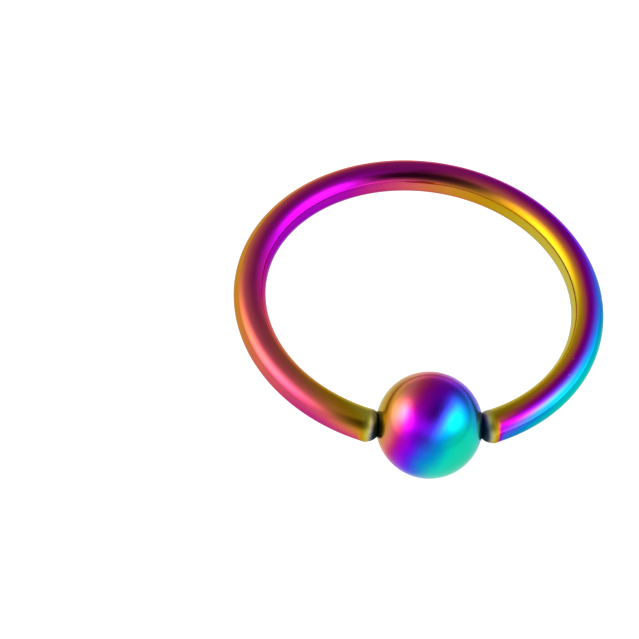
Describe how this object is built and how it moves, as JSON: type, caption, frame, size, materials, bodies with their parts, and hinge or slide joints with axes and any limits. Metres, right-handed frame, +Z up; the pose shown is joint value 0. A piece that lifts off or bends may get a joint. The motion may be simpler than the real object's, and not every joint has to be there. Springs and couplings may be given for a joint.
{
  "type": "captive bead ring",
  "caption": "Captive bead ring for a body piercing: an open circle of round wire whose domed tips hold a dimpled ball between them, with a rainbow oxide finish.",
  "frame": {"origin": "on the level surface that the ring lies on, under the middle of its outline seen from above", "axes": "+Y from the bead towards the wire opposite it, +X along the line through both tips, +Z up from the surface"},
  "size_m": [0.0146, 0.0154, 0.004],
  "materials": {
    "rainbow_wire": "polished steel with a thin oxide film that runs from gold through magenta and blue to teal",
    "rainbow_bead": "satin steel with a thin oxide film that runs from gold through purple and blue to green"
  },
  "bodies": {
    "ring": {"ring": "rainbow_wire"},
    "bead": {"bead": "rainbow_bead"}
  },
  "joints": [
    {"name": "bead_spin", "type": "hinge", "parent": "ring", "child": "bead", "pos_m": [0, -0.00569, 0.002], "axis": [1, 0, 0], "continuous": true}
  ]
}
